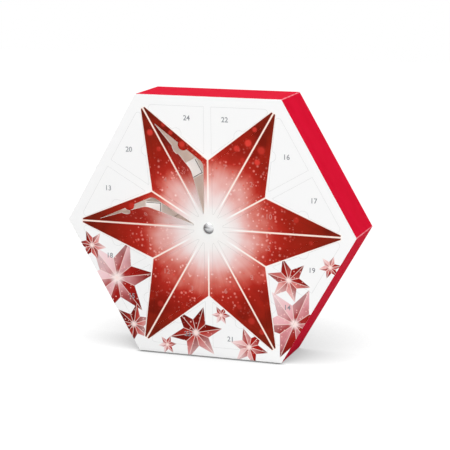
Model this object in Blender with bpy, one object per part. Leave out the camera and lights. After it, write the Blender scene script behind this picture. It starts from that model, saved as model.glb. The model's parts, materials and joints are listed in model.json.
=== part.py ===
"""Hexagonal star advent calendar: a folded tray, a front panel with 24 hinged doors, an
interlocking cell insert and 24 gift boxes.

Metres, +Z up. The front faces -Y. The origin is the centre of the face the box stands on.
Star directions are counted from +X towards +Z: the points lie at 0, 60 ... 300 degrees and
the valleys between them at 30, 90 ... 330 degrees.
"""
from math import asin, atan2, cos, pi, radians, sin, sqrt, tan

import bmesh
import bpy
from mathutils import Matrix, Vector

# Driving sizes of the box
SIDE_LENGTH = 0.180
DEPTH = 0.071
CARTON = 0.0006
GRID_BOARD = 0.0008
GAP = 0.0003
SECTORS = 6

# The star and its doors
TIP_TO_CORNER = 0.0192
STAR_TIP_RADIUS = SIDE_LENGTH - TIP_TO_CORNER
STAR_VALLEY_RADIUS = 0.0811
RIDGE_MARGIN = 0.0027
STAR_EDGE_MARGIN = 0.0054
VALLEY_MARGIN = 0.0050
STAR_CORNER_RADIUS = 0.0108
STAR_TAB_SHARE = 0.65
POINT_BLUNT = 0.0033

# The doors between the star and the box edge
DIVIDER_MARGIN = 0.0044
OUTSIDE_STAR_MARGIN = 0.0030
BOX_EDGE_MARGIN = 0.0116
OUTER_CORNER_RADIUS = 0.0040
OUTER_TAB_SHARE = 0.50
OUTER_BLUNT = 0.0010

# The half-round thumb tab left standing at each door's free edge
TAB_RADIUS = 0.0065
TAB_DEPTH = 0.0050

# Days printed on the doors, by star point or valley: (clockwise side, anticlockwise side)
STAR_DAYS = ((5, 10), (2, 7), (11, 4), (8, 1), (12, 3), (6, 9))
OUTER_DAYS = ((17, 16), (22, 24), (20, 13), (18, 15), (23, 21), (14, 19))
OPEN_DEGREES = {11: 44.0, 8: 41.0}

# Tray
GLUE_FLAP = 0.0100
FLAP_CORNER_GAP = 0.0030

# Insert boards
STUD_RELIEF_HALF = 0.0090
STUD_RELIEF_DEPTH = 0.0060

# Gift boxes: lengths run along the hinge line, as shares of the cell's length there
GIFT_RECESS = 0.0030
GIFT_CLEARANCE = 0.0016
STAR_GIFT_LENGTH_SHARE = 0.292
STAR_GIFT_WALL_CLEARANCE = 0.0071
OUTER_GIFT_LENGTH_SHARE = 0.487
OUTER_GIFT_WALL_CLEARANCE = 0.0057
GIFT_EDGE_RADIUS = 0.0006

# Centre stud
STUD_RADIUS = 0.0068
STUD_HEIGHT = 0.0030
SHANK_RADIUS = 0.0015
LIP_RADIUS = 0.0024
LIP_THICKNESS = 0.0006
WASHER_RADIUS = 0.0045
WASHER_THICKNESS = 0.0008

# Worked out from the sizes above
APOTHEM = SIDE_LENGTH * sqrt(3) / 2
HUB = Vector((0, 0, APOTHEM))
FRONT = -DEPTH / 2
BACK = DEPTH / 2
PANEL_BACK = FRONT + CARTON
TRAY_FRONT = PANEL_BACK + GAP
FLAP_BACK = TRAY_FRONT + CARTON
TRAY_INSIDE = BACK - CARTON
INNER_APOTHEM = APOTHEM - CARTON
INSERT_FRONT = PANEL_BACK + GAP
INSERT_BACK = TRAY_INSIDE - GAP
HALF_STEP = pi / SECTORS
VALLEY_ALONG = STAR_VALLEY_RADIUS * cos(HALF_STEP)
VALLEY_AWAY = STAR_VALLEY_RADIUS * sin(HALF_STEP)
POINT_ANGLE = atan2(VALLEY_AWAY, STAR_TIP_RADIUS - VALLEY_ALONG)
VALLEY_ANGLE = POINT_ANGLE + HALF_STEP


def clear_scene():
    for obj in list(bpy.data.objects):
        bpy.data.objects.remove(obj, do_unlink=True)


def material(name, colour, roughness, metallic=0.0):
    mat = bpy.data.materials.new(name)
    mat.use_nodes = True
    shader = mat.node_tree.nodes["Principled BSDF"]
    shader.inputs["Base Color"].default_value = (*colour, 1.0)
    shader.inputs["Roughness"].default_value = roughness
    shader.inputs["Metallic"].default_value = metallic
    mat.diffuse_color = (*colour, 1.0)
    return mat


def finish(name, bm, mat):
    """Turn a bmesh into a named object with outward faces and one material."""
    bmesh.ops.recalc_face_normals(bm, faces=bm.faces)
    mesh = bpy.data.meshes.new(name)
    bm.to_mesh(mesh)
    bm.free()
    mesh.materials.append(mat)
    obj = bpy.data.objects.new(name, mesh)
    bpy.context.scene.collection.objects.link(obj)
    return obj


def cut(obj, cutter):
    """Subtract cutter from obj and remove it."""
    modifier = obj.modifiers.new("cut", "BOOLEAN")
    modifier.operation = "DIFFERENCE"
    modifier.solver = "EXACT"
    modifier.object = cutter
    cutter.hide_render = True
    cutter.display_type = "WIRE"
    evaluated = obj.evaluated_get(bpy.context.evaluated_depsgraph_get())
    mesh = bpy.data.meshes.new_from_object(evaluated)
    obj.modifiers.remove(modifier)
    obj.data = mesh
    bpy.data.objects.remove(cutter, do_unlink=True)


def sector_axes(angle, side):
    """Directions along a star line and away from it, on the side asked for."""
    along = Vector((cos(angle), 0, sin(angle)))
    away = Vector((-sin(angle), 0, cos(angle))) * side
    return along, away


def sector_point(angle, side, point, y):
    along, away = sector_axes(angle, side)
    return HUB + along * point[0] + away * point[1] + Vector((0, y, 0))


def add_prism(bm, outlines, place, start, end):
    """Fill flat outlines, the first one outside the others, between two depths."""
    edges = []
    for outline in outlines:
        ring = [bm.verts.new(place(point, start)) for point in outline]
        edges += [bm.edges.new((a, b)) for a, b in zip(ring, ring[1:] + ring[:1])]
    if len(outlines) == 1:
        faces = [bm.faces.new(ring)]
    else:
        filled = bmesh.ops.triangle_fill(bm, use_beauty=True, use_dissolve=False, edges=edges)
        faces = [item for item in filled["geom"] if isinstance(item, bmesh.types.BMFace)]
    swept = bmesh.ops.extrude_face_region(bm, geom=faces)
    moved = [item for item in swept["geom"] if isinstance(item, bmesh.types.BMVert)]
    shift = place((0, 0), end) - place((0, 0), start)
    bmesh.ops.translate(bm, verts=moved, vec=shift)


def prism(name, outlines, place, start, end, mat):
    bm = bmesh.new()
    add_prism(bm, outlines, place, start, end)
    return finish(name, bm, mat)


def flat_place(point, y):
    """Place a point of the front plane, counted from the hub."""
    return HUB + Vector((point[0], y, point[1]))


def polar(radius, angle):
    return Vector((radius * cos(angle), radius * sin(angle)))


def crossing(point_a, direction_a, point_b, direction_b):
    """Where two lines of the plane meet."""
    across = Vector((-direction_b.y, direction_b.x))
    share = (point_b - point_a).dot(across) / direction_a.dot(across)
    return point_a + direction_a * share


def arc(centre, radius, start, sweep, steps):
    return [centre + polar(radius, start + sweep * i / steps) for i in range(steps + 1)]


def corner_arc(corner, towards_a, towards_b, radius, steps):
    """Round a corner between two unit directions that leave it."""
    half = towards_a.angle(towards_b) / 2
    centre = corner + (towards_a + towards_b).normalized() * (radius / sin(half))
    first = corner + towards_a * (radius / tan(half)) - centre
    last = corner + towards_b * (radius / tan(half)) - centre
    start = atan2(first.y, first.x)
    sweep = (atan2(last.y, last.x) - start + pi) % (2 * pi) - pi
    return arc(centre, radius, start, sweep, steps)


def door_outline(spec, inset):
    """Outline of a door opening, or of its flap with an inset, as (along, away) points.

    It runs along the hinge, round both blunted ends, and back along the free edge with the
    recess for the thumb tab.
    """
    hinge_line = Vector((0, spec["hinge"] + inset))
    along = Vector((1, 0))
    free_point = spec["free_point"] + spec["free_inward"] * inset
    third_point = spec["third_point"] + spec["third_inward"] * inset
    free_dir, third_dir = spec["free_dir"], spec["third_dir"]
    free_end = crossing(hinge_line, along, free_point, free_dir)
    third_end = crossing(hinge_line, along, third_point, third_dir)
    corner = crossing(free_point, free_dir, third_point, third_dir)
    free_step = 1 if third_end.x > free_end.x else -1

    sharp_free = crossing(Vector((0, spec["hinge"])), along, spec["free_point"], free_dir)
    cut_free = sharp_free.x + free_step * (spec["free_blunt"] + inset)
    outline = [Vector((cut_free, hinge_line.y))]
    if spec["third_blunt"]:
        sharp_third = crossing(Vector((0, spec["hinge"])), along, spec["third_point"], third_dir)
        cut_third = sharp_third.x - free_step * (spec["third_blunt"] + inset)
        outline.append(Vector((cut_third, hinge_line.y)))
        outline.append(crossing(Vector((cut_third, 0)), Vector((0, 1)), third_point, third_dir))
    else:
        outline.append(third_end)

    towards_third = (outline[-1] - corner).normalized()
    last = crossing(Vector((cut_free, 0)), Vector((0, 1)), free_point, free_dir)
    towards_free = (last - corner).normalized()
    radius = spec["corner_radius"] - inset
    outline += corner_arc(corner, towards_third, towards_free, radius, spec["corner_steps"])

    tab_radius = TAB_RADIUS + inset
    tab_centre = spec["tab_point"] - spec["free_inward"] * (TAB_RADIUS - TAB_DEPTH)
    half_sweep = pi / 2 - asin((TAB_RADIUS - TAB_DEPTH + inset) / tab_radius)
    inward = atan2(spec["free_inward"].y, spec["free_inward"].x)
    first = -1 if towards_free.angle(polar(1, inward - pi / 2)) > pi / 2 else 1
    outline += arc(tab_centre, tab_radius, inward + first * half_sweep, -2 * first * half_sweep, 12)
    outline.append(last)
    return outline


def star_door_spec():
    """Half of one star point: hinged on the ridge, free along the star's edge."""
    tip = Vector((STAR_TIP_RADIUS, 0))
    valley = polar(STAR_VALLEY_RADIUS, HALF_STEP)
    edge = (valley - tip).normalized()
    inward = Vector((-edge.y, edge.x))
    valley_inward = Vector((sin(HALF_STEP), -cos(HALF_STEP)))
    free_point = tip + inward * STAR_EDGE_MARGIN
    return {
        "hinge": RIDGE_MARGIN,
        "free_point": free_point, "free_dir": edge, "free_inward": inward,
        "third_point": valley_inward * VALLEY_MARGIN, "third_dir": polar(1, HALF_STEP),
        "third_inward": valley_inward,
        "free_blunt": POINT_BLUNT, "third_blunt": POINT_BLUNT,
        "corner_radius": STAR_CORNER_RADIUS, "corner_steps": 8,
        "tab_point": free_point + (valley - tip) * STAR_TAB_SHARE,
    }


def outer_door_spec():
    """Half of the field between two star points: hinged on the radial divider."""
    valley = Vector((STAR_VALLEY_RADIUS, 0))
    tip = polar(STAR_TIP_RADIUS, HALF_STEP)
    edge = (tip - valley).normalized()
    outward = Vector((edge.y, -edge.x))
    free_point = valley + outward * OUTSIDE_STAR_MARGIN
    return {
        "hinge": DIVIDER_MARGIN,
        "free_point": free_point, "free_dir": edge, "free_inward": outward,
        "third_point": Vector((APOTHEM - BOX_EDGE_MARGIN, 0)), "third_dir": Vector((0, 1)),
        "third_inward": Vector((-1, 0)),
        "free_blunt": OUTER_BLUNT, "third_blunt": 0.0,
        "corner_radius": OUTER_CORNER_RADIUS, "corner_steps": 5,
        "tab_point": free_point + (tip - valley) * OUTER_TAB_SHARE,
    }


def door_places():
    """Every door as (day, family, angle of its hinge line, side of that line)."""
    for sector in range(SECTORS):
        for family, days, turn in (("star", STAR_DAYS, 0), ("outer", OUTER_DAYS, HALF_STEP)):
            for side, day in zip((-1, 1), days[sector]):
                yield day, family, sector * 2 * HALF_STEP + turn, side


def build_doors(specs, mats):
    """Flaps with their origins on their hinge lines, two of them turned open."""
    for day, family, angle, side in door_places():
        along, away = sector_axes(angle, side)
        axis_point = sector_point(angle, side, (0, specs[family]["hinge"] + GAP / 2), FRONT)

        def place(point, y, angle=angle, side=side, origin=axis_point):
            return sector_point(angle, side, point, y) - origin
        outline = door_outline(specs[family], GAP)
        door = prism(f"door_{day:02d}", [outline], place, FRONT, PANEL_BACK, mats[family])
        swing = Matrix.Rotation(radians(OPEN_DEGREES.get(day, 0.0)) * side, 4, along)
        door.matrix_world = Matrix.Translation(axis_point) @ swing


def build_front_panel(specs, mat):
    hexagon = [polar(SIDE_LENGTH, i * 2 * HALF_STEP) for i in range(SECTORS)]
    outlines = [hexagon, arc(Vector((0, 0)), SHANK_RADIUS + GAP, 0, 2 * pi * 23 / 24, 23)]
    for _, family, angle, side in door_places():
        along, away = sector_axes(angle, side)
        outlines.append([Vector(((along * p.x + away * p.y).x, (along * p.x + away * p.y).z))
                         for p in door_outline(specs[family], 0.0)])
    prism("front_panel", outlines, flat_place, FRONT, PANEL_BACK, mat)


def build_tray(mat):
    """Back wall, six side walls and the glue flaps turned in behind the front panel."""
    inner = INNER_APOTHEM / cos(HALF_STEP)
    flap_edge = (INNER_APOTHEM - GLUE_FLAP) / cos(HALF_STEP)
    profile = ((SIDE_LENGTH, BACK), (SIDE_LENGTH, TRAY_FRONT), (flap_edge, TRAY_FRONT),
               (flap_edge, FLAP_BACK), (inner, FLAP_BACK), (inner, TRAY_INSIDE))
    bm = bmesh.new()
    rings = [[bm.verts.new(flat_place(polar(radius, i * 2 * HALF_STEP), y))
              for i in range(SECTORS)] for radius, y in profile]
    for near, far in zip(rings, rings[1:]):
        for i in range(SECTORS):
            j = (i + 1) % SECTORS
            bm.faces.new((near[i], near[j], far[j], far[i]))
    bm.faces.new(rings[0])
    bm.faces.new(rings[-1])
    tray = finish("back_tray", bm, mat)

    slits = bmesh.new()
    slope = FLAP_CORNER_GAP * tan(HALF_STEP)
    outline = [Vector((flap_edge - FLAP_CORNER_GAP, -FLAP_CORNER_GAP)),
               Vector((inner - slope, -FLAP_CORNER_GAP)), Vector((inner, 0)),
               Vector((inner - slope, FLAP_CORNER_GAP)),
               Vector((flap_edge - FLAP_CORNER_GAP, FLAP_CORNER_GAP))]
    for i in range(SECTORS):
        def place(point, y, angle=i * 2 * HALF_STEP):
            return sector_point(angle, 1, point, y)
        add_prism(slits, [outline], place, TRAY_FRONT - CARTON, FLAP_BACK + CARTON)
    cut(tray, finish("flap_slits", slits, mat))
    return tray


def stepped_edge(notches, level, half_length):
    """Points of one long edge of a board, from its negative end to its positive end."""
    points = [Vector((-half_length, level))]
    for start, end, depth in notches:
        points += [Vector((start, points[-1].y)), Vector((start, depth)), Vector((end, depth))]
        following = [n for n in notches if abs(n[0] - end) < GAP / 2]
        if not following:
            points.append(Vector((end, level)))
    points.append(Vector((half_length, level)))
    kept = [points[0]]
    for point in points[1:]:
        if (point - kept[-1]).length > GAP / 4:
            kept.append(point)
    return kept


def slot_half(angle):
    """Half width of a slot that lets a board of equal thickness cross at an angle."""
    return GRID_BOARD / 2 / sin(angle) + GRID_BOARD / 2 / tan(angle) + GAP / sin(angle)


def build_insert_boards(mat):
    """Three ridge boards and three valley boards, lapped over each other at the centre."""
    relief = INSERT_FRONT + STUD_RELIEF_DEPTH
    level = (INSERT_BACK - relief) / SECTORS
    middle = (INSERT_FRONT + INSERT_BACK) / 2
    centre_half = slot_half(HALF_STEP)
    ridge_half = (INNER_APOTHEM - GAP - GRID_BOARD / 4) / cos(HALF_STEP)
    families = (("ridge_board", 0, ridge_half, STAR_TIP_RADIUS, POINT_ANGLE),
                ("valley_board", HALF_STEP, INNER_APOTHEM - GAP, STAR_VALLEY_RADIUS, VALLEY_ANGLE))
    for family, (name, turn, half_length, strip_at, strip_angle) in enumerate(families):
        flap_notch = half_length - GLUE_FLAP - GAP
        for number in range(3):
            order = 2 * number + family
            bridge_front = relief + order * level + GAP / 2
            bridge_back = relief + (order + 1) * level - GAP / 2
            strip_slot = slot_half(strip_angle)
            front = [(-strip_at - strip_slot, -strip_at + strip_slot, middle + GAP / 2),
                     (-STUD_RELIEF_HALF, -centre_half, relief),
                     (-centre_half, centre_half, bridge_front),
                     (centre_half, STUD_RELIEF_HALF, relief),
                     (strip_at - strip_slot, strip_at + strip_slot, middle + GAP / 2)]
            if family:
                front.insert(0, (-half_length, -flap_notch, FLAP_BACK + GAP))
                front.append((flap_notch, half_length, FLAP_BACK + GAP))
            back = [(-centre_half, centre_half, bridge_back)]
            if INSERT_BACK - bridge_back < GAP:
                back = []
            outline = stepped_edge(front, INSERT_FRONT, half_length)
            outline += reversed(stepped_edge(back, INSERT_BACK, half_length))
            along, away = sector_axes(number * 2 * HALF_STEP + turn, 1)

            def place(point, offset, along=along, away=away):
                return HUB + along * point[0] + Vector((0, point[1], 0)) + away * offset
            tidy = [p for i, p in enumerate(outline) if (p - outline[i - 1]).length > GAP / 4]
            prism(f"{name}_{number + 1}", [tidy], place, -GRID_BOARD / 2, GRID_BOARD / 2, mat)


def star_ring(offset):
    """The star outline moved outwards by offset, as twelve mitred corners."""
    ring = []
    for i in range(SECTORS):
        ring.append(polar(STAR_TIP_RADIUS + offset / sin(POINT_ANGLE), i * 2 * HALF_STEP))
        ring.append(polar(STAR_VALLEY_RADIUS + offset / sin(VALLEY_ANGLE), (i * 2 + 1) * HALF_STEP))
    return ring


def build_star_strip(mat):
    """One strip folded into the star, slotted from the back over the insert boards."""
    outlines = [star_ring(GRID_BOARD / 2), star_ring(-GRID_BOARD / 2)]
    strip = prism("star_strip", outlines, flat_place, INSERT_FRONT, INSERT_BACK, mat)
    middle = (INSERT_FRONT + INSERT_BACK) / 2
    half = GRID_BOARD / 2 + GAP
    reach = 6 * GRID_BOARD
    slots = bmesh.new()
    for i in range(2 * SECTORS):
        radius = STAR_VALLEY_RADIUS if i % 2 else STAR_TIP_RADIUS
        outline = [Vector((radius + x, y)) for x, y in
                   ((-reach, -half), (reach, -half), (reach, half), (-reach, half))]

        def place(point, y, angle=i * HALF_STEP):
            return sector_point(angle, 1, point, y)
        add_prism(slots, [outline], place, middle - GAP / 2, INSERT_BACK + CARTON)
    cut(strip, finish("strip_slots", slots, mat))


def gift_corners():
    """Lowest and highest (along, away) corner of a gift box in each family of cells."""
    length = STAR_GIFT_LENGTH_SHARE * VALLEY_ALONG
    star_low = Vector((VALLEY_ALONG - length / 2, GRID_BOARD / 2 + GIFT_CLEARANCE))
    towards_hub = star_low.x * tan(HALF_STEP)
    towards_tip = (STAR_TIP_RADIUS - star_low.x - length) * tan(POINT_ANGLE)
    star_high = Vector((star_low.x + length, min(towards_hub, towards_tip) - STAR_GIFT_WALL_CLEARANCE))

    outer_end = APOTHEM - BOX_EDGE_MARGIN - GIFT_CLEARANCE
    field = outer_end - STAR_VALLEY_RADIUS
    length = OUTER_GIFT_LENGTH_SHARE * field
    outer_low = Vector((outer_end - length, DIVIDER_MARGIN + GAP))
    reach = (field - length - OUTER_GIFT_WALL_CLEARANCE) * tan(VALLEY_ANGLE)
    return {"star": (star_low, star_high), "outer": (outer_low, Vector((outer_end, reach)))}


def build_gift_boxes(mat):
    corners = gift_corners()
    for day, family, angle, side in door_places():
        low, high = corners[family]
        outline = [low, Vector((high.x, low.y)), high, Vector((low.x, high.y))]

        def place(point, y, angle=angle, side=side):
            return sector_point(angle, side, point, y)
        bm = bmesh.new()
        add_prism(bm, [outline], place, FRONT + GIFT_RECESS, INSERT_BACK)
        bmesh.ops.bevel(bm, geom=list(bm.edges), offset=GIFT_EDGE_RADIUS, segments=2,
                        affect="EDGES", profile=0.5)
        finish(f"gift_box_{day:02d}", bm, mat)


def turned(name, profile, mat, steps=48):
    """Turn a (radius, y) profile round the hub axis; closed where a radius is zero."""
    bm = bmesh.new()
    rings = []
    for radius, y in profile:
        count = steps if radius > 0 else 1
        rings.append([bm.verts.new(flat_place(polar(radius, 2 * pi * i / steps), y))
                      for i in range(count)])
    closed = rings[1:] + rings[:1]
    for near, far in zip(rings, closed):
        for i in range(steps):
            j = (i + 1) % steps
            corners = [near[i % len(near)], near[j % len(near)],
                       far[j % len(far)], far[i % len(far)]]
            unique = list(dict.fromkeys(corners))
            if len(unique) > 2:
                bm.faces.new(unique)
    return finish(name, bm, mat)


def build_centre_stud(mat):
    """Domed stud with a shank and lip, and the washer that it is snapped into."""
    under_head = FRONT - GAP
    dome_radius = (STUD_RADIUS ** 2 + STUD_HEIGHT ** 2) / (2 * STUD_HEIGHT)
    dome_centre = under_head - STUD_HEIGHT + dome_radius
    half_angle = asin(STUD_RADIUS / dome_radius)
    dome = [(dome_radius * sin(half_angle * i / 12), dome_centre - dome_radius * cos(half_angle * i / 12))
            for i in range(13)]
    washer_front = PANEL_BACK + GAP
    washer_back = washer_front + WASHER_THICKNESS
    lip_front = washer_back + GAP
    lip_back = lip_front + LIP_THICKNESS
    stud = dome + [(SHANK_RADIUS, under_head), (SHANK_RADIUS, lip_front), (LIP_RADIUS, lip_front),
                   (SHANK_RADIUS, lip_back), (0, lip_back)]
    turned("centre_stud", stud, mat)
    bore = SHANK_RADIUS + GAP
    washer = [(bore, washer_front), (WASHER_RADIUS, washer_front),
              (WASHER_RADIUS, washer_back), (bore, washer_back)]
    turned("stud_washer", washer, mat)


def main():
    clear_scene()
    white = material("white_board", (0.92, 0.92, 0.91), 0.55)
    star_print = material("star_board", (0.62, 0.06, 0.05), 0.45)
    red = material("red_board", (0.76, 0.04, 0.10), 0.5)
    grey = material("grey_board", (0.62, 0.58, 0.55), 0.8)
    gift = material("gift_board", (0.93, 0.93, 0.92), 0.5)
    silver = material("silver_stud", (0.75, 0.75, 0.76), 0.15, 1.0)
    specs = {"star": star_door_spec(), "outer": outer_door_spec()}
    build_tray(red)
    build_front_panel(specs, white)
    build_doors(specs, {"star": star_print, "outer": white})
    build_insert_boards(grey)
    build_star_strip(grey)
    build_gift_boxes(gift)
    build_centre_stud(silver)


main()
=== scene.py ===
"""Hexagonal star advent calendar: print, carton boards, gift boxes, stud, floor and light."""
import json
from math import atan2, cos, degrees, pi, radians, sin, sqrt

import bmesh
import bpy
from mathutils import Matrix, Vector


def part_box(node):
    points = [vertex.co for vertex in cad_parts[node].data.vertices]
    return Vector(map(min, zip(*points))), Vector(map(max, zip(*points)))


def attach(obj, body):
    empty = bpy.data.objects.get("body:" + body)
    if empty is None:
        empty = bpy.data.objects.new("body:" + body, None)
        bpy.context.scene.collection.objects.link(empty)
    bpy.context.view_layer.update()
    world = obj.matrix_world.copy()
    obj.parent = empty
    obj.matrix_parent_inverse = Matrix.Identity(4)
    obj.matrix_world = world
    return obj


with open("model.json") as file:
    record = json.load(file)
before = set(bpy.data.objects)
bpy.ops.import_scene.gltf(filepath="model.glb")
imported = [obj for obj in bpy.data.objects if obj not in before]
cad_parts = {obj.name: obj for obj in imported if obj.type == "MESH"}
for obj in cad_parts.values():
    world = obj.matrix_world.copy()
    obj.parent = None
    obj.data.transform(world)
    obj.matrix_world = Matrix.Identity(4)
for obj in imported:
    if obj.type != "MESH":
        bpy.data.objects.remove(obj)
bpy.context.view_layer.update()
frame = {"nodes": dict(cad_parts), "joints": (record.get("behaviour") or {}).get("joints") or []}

MM = 0.001

# The box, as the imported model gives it
panel_low, panel_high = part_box("front_panel")
SIDE = (panel_high.x - panel_low.x) / 2
HUB_HEIGHT = (panel_low.z + panel_high.z) / 2
FRONT = panel_low.y
CARTON = panel_high.y - panel_low.y
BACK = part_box("back_tray")[1].y
APOTHEM = SIDE * sqrt(3) / 2
STEP = pi / 3
DAYS = range(1, 25)
MERGE_DISTANCE = 0.001 * MM

# The printed star: its edges would meet at the tips, but each facet ends bluntly before that.
# The valleys' share is their radius over that of the tips.
TIP_MARGIN = 12.0 * MM
BLUNT_MARGIN = 18.6 * MM
TIP_RADIUS = SIDE - TIP_MARGIN
BLUNT_RADIUS = SIDE - BLUNT_MARGIN
VALLEY_SHARE = 81.1 / 168.0
POINT_ANGLE = atan2(VALLEY_SHARE * sin(STEP / 2), 1 - VALLEY_SHARE * cos(STEP / 2))

# Camera solved from the box corners and star corners of the photograph
PHOTO_SIDE = 450
FOCAL_PIXELS = 1672
SENSOR_MM = 36
CAMERA_AZIMUTH = radians(19.87)
CAMERA_ELEVATION = radians(12.10)
CAMERA_ROLL = radians(-0.48)
CAMERA_DISTANCE = 10.860 * SIDE
CAMERA_TARGET = Vector((0.1161 * SIDE, FRONT, 0.8982 * SIDE))


def linear(hex_colour):
    """An sRGB hex colour as linear RGBA."""
    channels = [int(hex_colour[i:i + 2], 16) / 255 for i in (1, 3, 5)]
    return (*[c / 12.92 if c <= 0.04045 else ((c + 0.055) / 1.055) ** 2.4 for c in channels], 1.0)


def add(tree, kind, inputs=None, out=0, stops=(), **settings):
    """Add a shader node with its settings, colour stops, values and links; return one output.

    Inputs and outputs are keyed by name, or by number where sockets share one. MapRange takes
    0 value, 1 and 2 the range it comes from, 3 and 4 the range it goes to. Mix takes 0 factor,
    then 2 and 3 for values, or 6 and 7 for colours, whose result is output 2.
    """
    node = tree.nodes.new("ShaderNode" + kind)
    for name, value in settings.items():
        setattr(node, name, value)
    while stops and len(node.color_ramp.elements) < len(stops):
        node.color_ramp.elements.new(1.0)
    for i, (position, colour) in enumerate(stops):
        node.color_ramp.elements[i].position = position
        node.color_ramp.elements[i].color = linear(colour)
    for key, value in (inputs or {}).items():
        if isinstance(value, bpy.types.NodeSocket):
            tree.links.new(value, node.inputs[key])
        else:
            node.inputs[key].default_value = value
    return node.outputs[out] if node.outputs else node


def new_material(name, roughness, specular=0.5, metallic=0.0):
    """A Principled material with its constant values on the shader's own sockets."""
    material = bpy.data.materials.new(name)
    material.use_nodes = True
    shader = material.node_tree.nodes["Principled BSDF"]
    shader.inputs["Roughness"].default_value = roughness
    shader.inputs["Specular IOR Level"].default_value = specular
    shader.inputs["Metallic"].default_value = metallic
    return material, material.node_tree, shader


def plane_radius(tree, point):
    """How far a point is from the hub's axis, seen square to the front."""
    flat = add(tree, "VectorMath", {0: point, 1: (1, 0, 1)}, operation="MULTIPLY")
    return add(tree, "VectorMath", {0: flat}, out="Value", operation="LENGTH")


# Paper fibres, drawn coarser than real so that they show
PAPER_FIBRE = 0.6 * MM
GREYBOARD_FIBRE = 0.8 * MM
FIBRE_RELIEF = 0.05 * MM


def fibre_bump(tree, shader, coordinates, fibre=PAPER_FIBRE, strength=0.12):
    """Faint relief of pressed paper fibres; returns their pattern for the board's colour."""
    fibres = add(tree, "TexNoise", {"Vector": coordinates, "Scale": 1 / fibre, "Detail": 4.0,
                                    "Roughness": 0.6})
    relief = add(tree, "Bump", {"Strength": strength, "Distance": FIBRE_RELIEF, "Height": fibres})
    tree.links.new(relief, shader.inputs["Normal"])
    return fibres


# Faceted star pattern
def faceted_star_group():
    """A six-pointed star of radius 1 in the XZ plane, folded into twelve equal facets.

    Its outputs are the distance inside the outline, the distances from the nearest ridge and
    valley fold, which side of its point a facet is on, and the radius and angle from the hub.
    """
    group = bpy.data.node_groups.new("faceted_star", "ShaderNodeTree")
    group.interface.new_socket("Point", in_out="INPUT", socket_type="NodeSocketVector")
    for name in ("Inside", "Ridge", "Valley", "Side", "Radius", "Angle"):
        group.interface.new_socket(name, in_out="OUTPUT", socket_type="NodeSocketFloat")
    point = group.nodes.new("NodeGroupInput").outputs[0]
    end = group.nodes.new("NodeGroupOutput")
    radius = plane_radius(group, point)
    parts = add(group, "SeparateXYZ", {0: point}).node.outputs
    angle = add(group, "Math", {0: parts["Z"], 1: parts["X"]}, operation="ARCTAN2")
    folded = add(group, "Math", {0: angle, 1: STEP / 2}, operation="PINGPONG")
    cosine = add(group, "Math", {0: folded}, operation="COSINE")
    sine = add(group, "Math", {0: folded}, operation="SINE")
    along = add(group, "Math", {0: radius, 1: cosine}, operation="MULTIPLY")
    ridge = add(group, "Math", {0: radius, 1: sine}, operation="MULTIPLY")
    from_tip = add(group, "Math", {0: 1.0, 1: along}, operation="SUBTRACT")
    slant = add(group, "Math", {0: from_tip, 1: sin(POINT_ANGLE)}, operation="MULTIPLY")
    inside = add(group, "Math", {0: ridge, 1: -cos(POINT_ANGLE), 2: slant},
                 operation="MULTIPLY_ADD")
    opposite = add(group, "Math", {0: STEP / 2, 1: folded}, operation="SUBTRACT")
    valley_sine = add(group, "Math", {0: opposite}, operation="SINE")
    valley = add(group, "Math", {0: radius, 1: valley_sine}, operation="MULTIPLY")
    wave = add(group, "Math", {0: angle, 1: 2 * pi / STEP}, operation="MULTIPLY")
    wave_sine = add(group, "Math", {0: wave}, operation="SINE")
    side = add(group, "Math", {0: wave_sine}, operation="SIGN")
    for socket, value in zip(end.inputs, (inside, ridge, valley, side, radius, angle)):
        group.links.new(value, socket)
    return group


STAR_GROUP = faceted_star_group()


def star_pattern(tree, point):
    """The outputs of the faceted star at a point, by name."""
    node = add(tree, "Group", {}, node_tree=STAR_GROUP).node
    tree.links.new(point, node.inputs[0])
    return node.outputs


# Scattered dots of light: spacing and radius in millimetres, share of the grid's cells with a
# dot, share of the radius inside the soft rim, and seed
FINE_SPARKLES = (3.5, 1.5, 0.55, 0.15, 1)
COARSE_SPARKLES = (5.6, 2.5, 0.5, 0.15, 2)
SOFT_SPOTS = (6.4, 2.3, 0.6, 0.25, 3)
SMALL_STAR_DUST = (3.8, 1.4, 0.45, 0.35, 7)


def scattered_dots(tree, plane, spacing_mm, radius_mm, share, core, seed):
    """Round dots of light, one in some of the cells of an uneven grid."""
    shifted = add(tree, "VectorMath", {0: plane, 1: (seed * SIDE, 0, 0)}, operation="ADD")
    cells = add(tree, "TexVoronoi", {"Vector": shifted, "Scale": 1 / (spacing_mm * MM),
                                     "Randomness": 0.9}).node.outputs
    reach = radius_mm / spacing_mm
    chance = add(tree, "SeparateColor", {0: cells["Color"]}).node.outputs
    size = add(tree, "MapRange", {0: chance[1], 3: 0.45 * reach, 4: reach})
    hard = add(tree, "Math", {0: size, 1: core}, operation="MULTIPLY")
    dot = add(tree, "MapRange", {0: cells["Distance"], 1: size, 2: hard, 3: 0.0, 4: 1.0},
              interpolation_type="SMOOTHSTEP")
    kept = add(tree, "Math", {0: chance[0], 1: share}, operation="LESS_THAN")
    strength = add(tree, "MapRange", {0: chance[2], 3: 0.5, 4: 1.0})
    present = add(tree, "Math", {0: dot, 1: kept}, operation="MULTIPLY")
    return add(tree, "Math", {0: present, 1: strength}, operation="MULTIPLY")


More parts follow.
